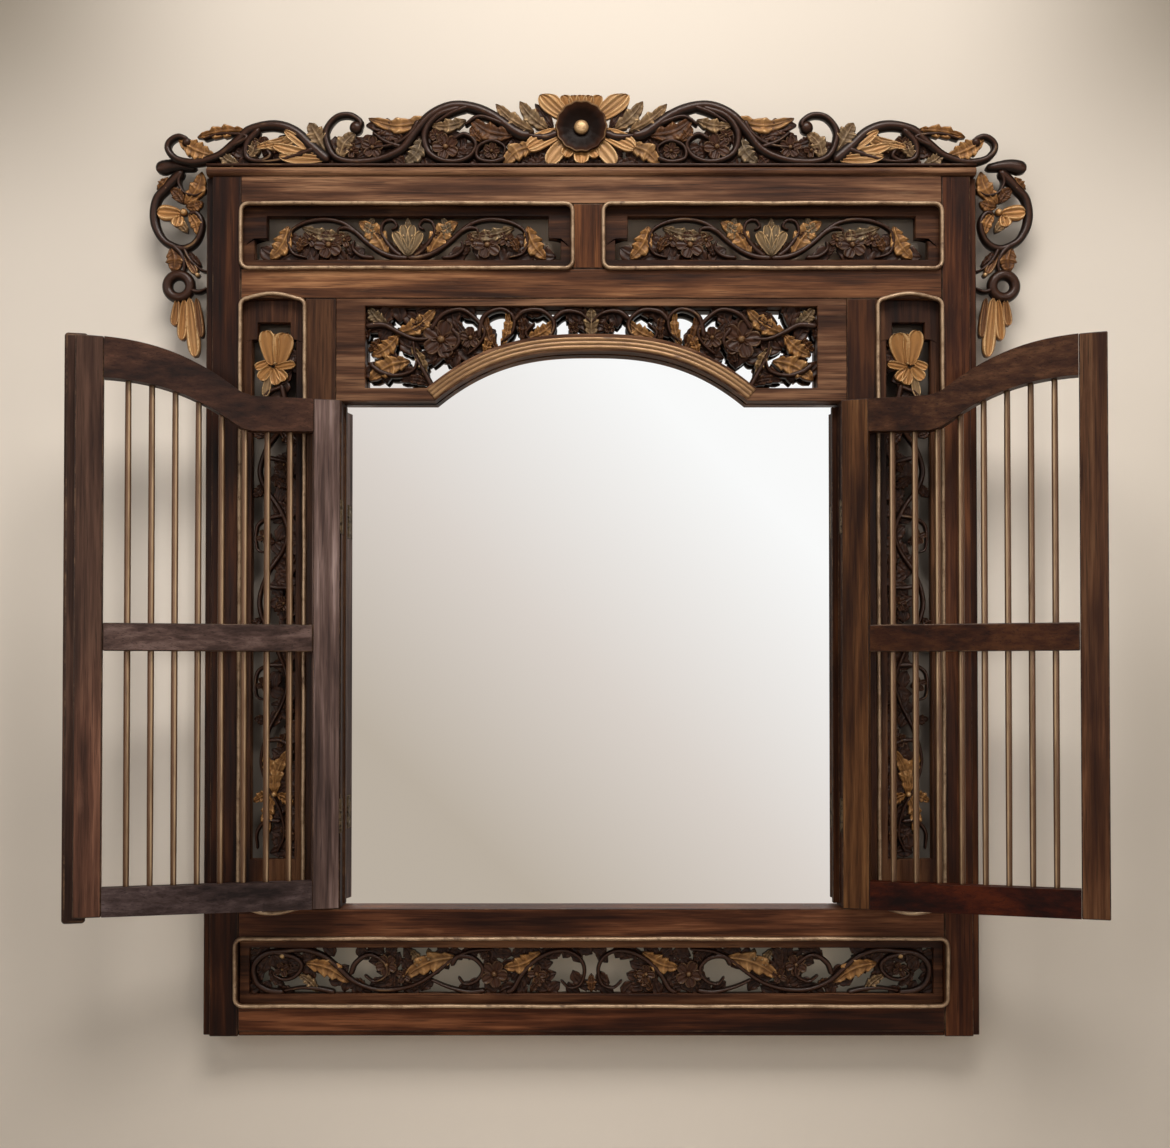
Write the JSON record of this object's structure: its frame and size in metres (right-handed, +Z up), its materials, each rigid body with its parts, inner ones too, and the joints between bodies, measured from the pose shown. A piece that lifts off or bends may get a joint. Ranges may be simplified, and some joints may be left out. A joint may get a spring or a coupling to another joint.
{
  "type": "window-frame wall mirror",
  "caption": "Wall mirror in a carved wooden window frame with pierced floral panels, a scrolled crest, side brackets and a pair of hinged spindle shutters standing open.",
  "frame": {"origin": "middle of the backing board's back face, which is flush with the back of the frame and lies on the wall, level with the middle of the joined frame without its crest", "axes": "+X to the viewer's right, +Z up, -Y out of the wall towards the viewer"},
  "size_m": [1.1893, 0.1537, 1.1317],
  "materials": {
    "frame_wood": "worn dark stain, waxed",
    "shutter_wood": "worn dark stain",
    "carved_wood": "dark stain with rubbed gilding on the leaves",
    "gilt_wood": "rubbed bronze gilding",
    "mirror": "silvered glass",
    "board": "plain plywood",
    "hinge_metal": "aged, dull"
  },
  "bodies": {
    "frame": {"stile_left": "frame_wood", "stile_right": "frame_wood", "rail_top": "frame_wood", "rail_frieze": "frame_wood", "rail_sill": "frame_wood", "rail_bottom": "frame_wood", "jamb_left": "frame_wood", "jamb_right": "frame_wood", "muntin": "frame_wood", "crest": "carved_wood", "ear_left": "carved_wood", "ear_right": "carved_wood", "frieze_panel_left": "frame_wood", "frieze_panel_right": "frame_wood", "side_panel_left": "frame_wood", "side_panel_right": "frame_wood", "header_panel": "frame_wood", "apron_panel": "frame_wood", "frieze_bead_left": "gilt_wood", "frieze_bead_right": "gilt_wood", "side_bead_left": "gilt_wood", "side_bead_right": "gilt_wood", "apron_bead": "gilt_wood", "mirror_glass": "mirror", "backing_board": "board", "left_hinge_1_frame_leaf": "hinge_metal", "left_hinge_2_frame_leaf": "hinge_metal", "right_hinge_1_frame_leaf": "hinge_metal", "right_hinge_2_frame_leaf": "hinge_metal"},
    "left_shutter": {"left_hinge_stile": "shutter_wood", "left_meeting_stile": "shutter_wood", "left_top_rail": "shutter_wood", "left_mid_rail": "shutter_wood", "left_bottom_rail": "shutter_wood", "left_spindle_1": "gilt_wood", "left_spindle_2": "gilt_wood", "left_spindle_3": "gilt_wood", "left_spindle_4": "gilt_wood", "left_spindle_5": "gilt_wood", "left_spindle_6": "gilt_wood", "left_spindle_7": "gilt_wood", "left_spindle_8": "gilt_wood", "left_hinge_1_shutter_leaf": "hinge_metal", "left_hinge_2_shutter_leaf": "hinge_metal", "left_astragal": "shutter_wood"},
    "right_shutter": {"right_hinge_stile": "shutter_wood", "right_meeting_stile": "shutter_wood", "right_top_rail": "shutter_wood", "right_mid_rail": "shutter_wood", "right_bottom_rail": "shutter_wood", "right_spindle_1": "gilt_wood", "right_spindle_2": "gilt_wood", "right_spindle_3": "gilt_wood", "right_spindle_4": "gilt_wood", "right_spindle_5": "gilt_wood", "right_spindle_6": "gilt_wood", "right_spindle_7": "gilt_wood", "right_spindle_8": "gilt_wood", "right_hinge_1_shutter_leaf": "hinge_metal", "right_hinge_2_shutter_leaf": "hinge_metal"}
  },
  "joints": [
    {"name": "left_shutter_hinge", "type": "hinge", "parent": "frame", "child": "left_shutter", "pos_m": [-0.301, -0.04, 0], "axis": [0, 0, 1], "range_deg": [-13, 165]},
    {"name": "right_shutter_hinge", "type": "hinge", "parent": "frame", "child": "right_shutter", "pos_m": [0.301, -0.04, 0], "axis": [0, 0, 1], "range_deg": [-162, 16]}
  ]
}
